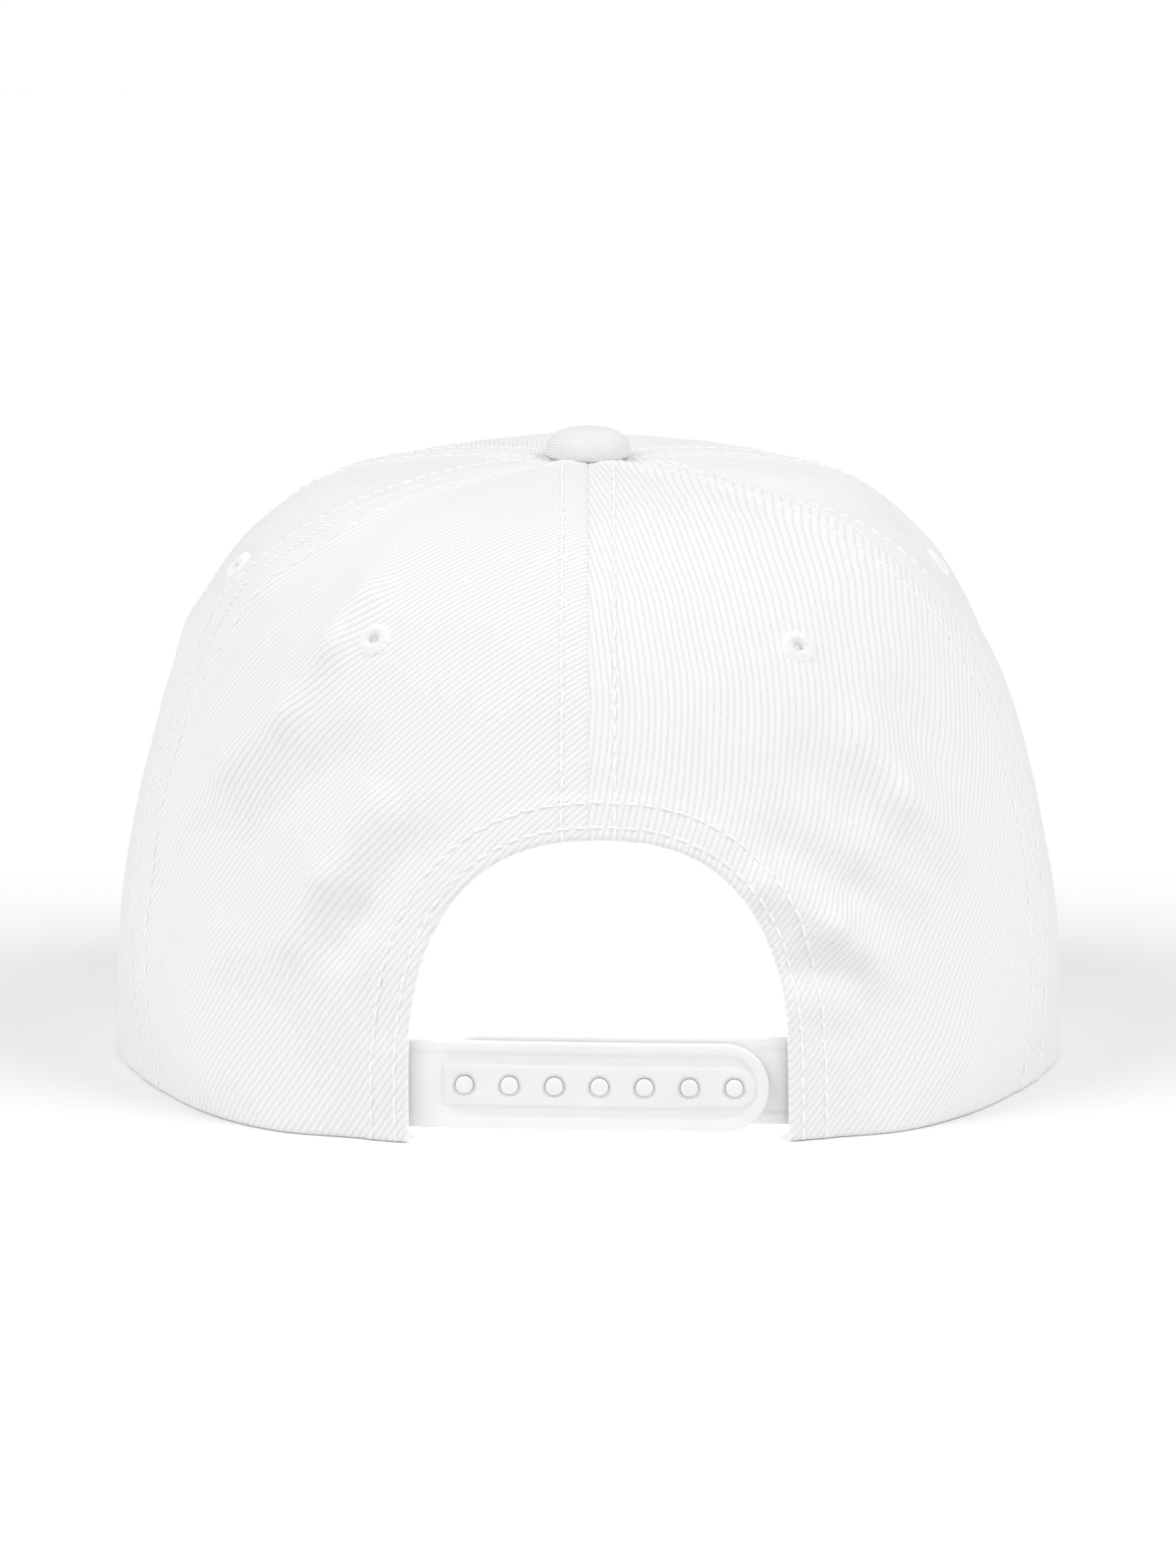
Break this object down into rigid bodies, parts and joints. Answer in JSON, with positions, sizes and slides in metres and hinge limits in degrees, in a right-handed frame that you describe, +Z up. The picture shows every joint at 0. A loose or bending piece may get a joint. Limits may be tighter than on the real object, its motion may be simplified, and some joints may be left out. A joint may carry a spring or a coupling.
{
  "type": "snapback cap",
  "caption": "White six-panel snapback cap with a flat brim, a covered top button and a plastic snap strap across the arched back opening.",
  "frame": {"origin": "middle of the cap's footprint on the surface it rests on, at the height of the rim", "axes": "+Z up from the rim to the button, +Y towards the back opening, -Y towards the brim, +X towards the wearer's left"},
  "size_m": [0.185, 0.2474, 0.12],
  "materials": {
    "twill": "white polyester-wool twill, matt, fine diagonal wales",
    "thread": "white embroidery thread, slight sheen",
    "lining": "off-white cotton sweatband, matt",
    "strap_plastic": "moulded white plastic, satin gloss, slightly translucent"
  },
  "bodies": {
    "root": {"panel_back_left": "twill", "panel_back_right": "twill", "panel_side_left": "twill", "panel_side_right": "twill", "panel_front_left": "twill", "panel_front_right": "twill", "eyelet_back_left": "thread", "eyelet_back_right": "thread", "eyelet_side_left": "thread", "eyelet_side_right": "thread", "eyelet_front_left": "thread", "eyelet_front_right": "thread", "top_button": "twill", "brim": "twill", "sweatband": "lining", "strap_holes": "strap_plastic", "strap_pegs": "strap_plastic"}
  },
  "joints": []
}
